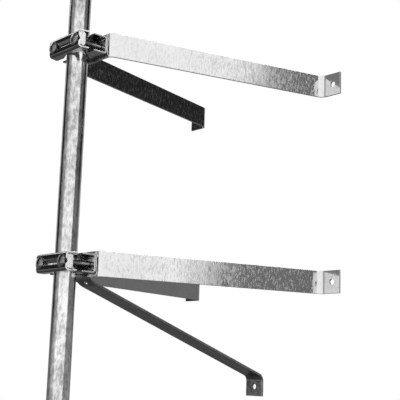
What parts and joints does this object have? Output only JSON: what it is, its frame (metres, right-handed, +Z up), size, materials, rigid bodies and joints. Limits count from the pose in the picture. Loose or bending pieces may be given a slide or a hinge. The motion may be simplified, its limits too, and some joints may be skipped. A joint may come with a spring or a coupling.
{
  "type": "mast wall bracket",
  "caption": "Stand-off wall bracket set: splayed flat-bar brackets with bolted jaws clamping a galvanised mast, the lower one braced by a diagonal strut.",
  "frame": {"origin": "back face of the strut's foot on the wall plane, on the centre line, 6 mm above the foot's lower edge", "axes": "+Y into the wall, +Z up along the mast, +X to the right when facing the wall; the mast axis is at X = 0, Y = -406.4 mm"},
  "size_m": [0.376, 0.4369, 0.76],
  "materials": {
    "mast_pipe": "hot-dip galvanised pipe, streaked",
    "strap_bar": "hot-dip galvanised flat bar, bright spangle",
    "strut_bar": "hot-dip galvanised flat bar",
    "pressed_jaw": "hot-dip galvanised pressing",
    "fastener": "zinc plated steel"
  },
  "bodies": {
    "lower_bracket": {"lower_strap": "strap_bar", "lower_inner_jaw": "pressed_jaw", "lower_clamp_washer_right": "fastener", "lower_clamp_washer_left": "fastener", "strut": "strut_bar", "strut_bolt": "fastener", "strut_washer": "fastener", "strut_nut": "fastener"},
    "lower_clamp": {"lower_outer_jaw": "pressed_jaw", "lower_clamp_bolt_right": "fastener", "lower_clamp_bolt_left": "fastener"},
    "lower_nut_right": {"lower_clamp_nut_right": "fastener"},
    "lower_nut_left": {"lower_clamp_nut_left": "fastener"},
    "mast": {"mast": "mast_pipe"},
    "upper_bracket": {"upper_strap": "strap_bar", "upper_inner_jaw": "pressed_jaw", "upper_clamp_washer_right": "fastener", "upper_clamp_washer_left": "fastener"},
    "upper_clamp": {"upper_outer_jaw": "pressed_jaw", "upper_clamp_bolt_right": "fastener", "upper_clamp_bolt_left": "fastener"},
    "upper_nut_right": {"upper_clamp_nut_right": "fastener"},
    "upper_nut_left": {"upper_clamp_nut_left": "fastener"}
  },
  "joints": [
    {"name": "mast_height", "type": "slide", "parent": "lower_bracket", "child": "mast", "axis": [0, 0, 1], "range_m": [-0.05, 0.2]},
    {"name": "bracket_spacing", "type": "slide", "parent": "lower_bracket", "child": "upper_bracket", "axis": [0, 0, 1], "range_m": [-0.15, 0.08]},
    {"name": "lower_clamp_open", "type": "slide", "parent": "lower_bracket", "child": "lower_clamp", "axis": [0, -1, 0], "range_m": [0, 0.012]},
    {"name": "lower_nut_right_spin", "type": "hinge", "parent": "lower_bracket", "child": "lower_nut_right", "pos_m": [0.0285, -0.3728, 0.183], "axis": [0, 1, 0], "range_deg": [0, 3063]},
    {"name": "lower_nut_left_spin", "type": "hinge", "parent": "lower_bracket", "child": "lower_nut_left", "pos_m": [-0.0285, -0.3728, 0.183], "axis": [0, 1, 0], "range_deg": [0, 3063]},
    {"name": "upper_clamp_open", "type": "slide", "parent": "upper_bracket", "child": "upper_clamp", "axis": [0, -1, 0], "range_m": [0, 0.012]},
    {"name": "upper_nut_right_spin", "type": "hinge", "parent": "upper_bracket", "child": "upper_nut_right", "pos_m": [0.0285, -0.3728, 0.519], "axis": [0, 1, 0], "range_deg": [0, 3063]},
    {"name": "upper_nut_left_spin", "type": "hinge", "parent": "upper_bracket", "child": "upper_nut_left", "pos_m": [-0.0285, -0.3728, 0.519], "axis": [0, 1, 0], "range_deg": [0, 3063]}
  ],
  "couplings": [
    {"joint": "lower_nut_right_spin", "follows": "lower_clamp_open", "rad_per_m": 4452.6},
    {"joint": "lower_nut_left_spin", "follows": "lower_clamp_open", "rad_per_m": 4452.6},
    {"joint": "upper_nut_right_spin", "follows": "upper_clamp_open", "rad_per_m": 4452.6},
    {"joint": "upper_nut_left_spin", "follows": "upper_clamp_open", "rad_per_m": 4452.6}
  ]
}
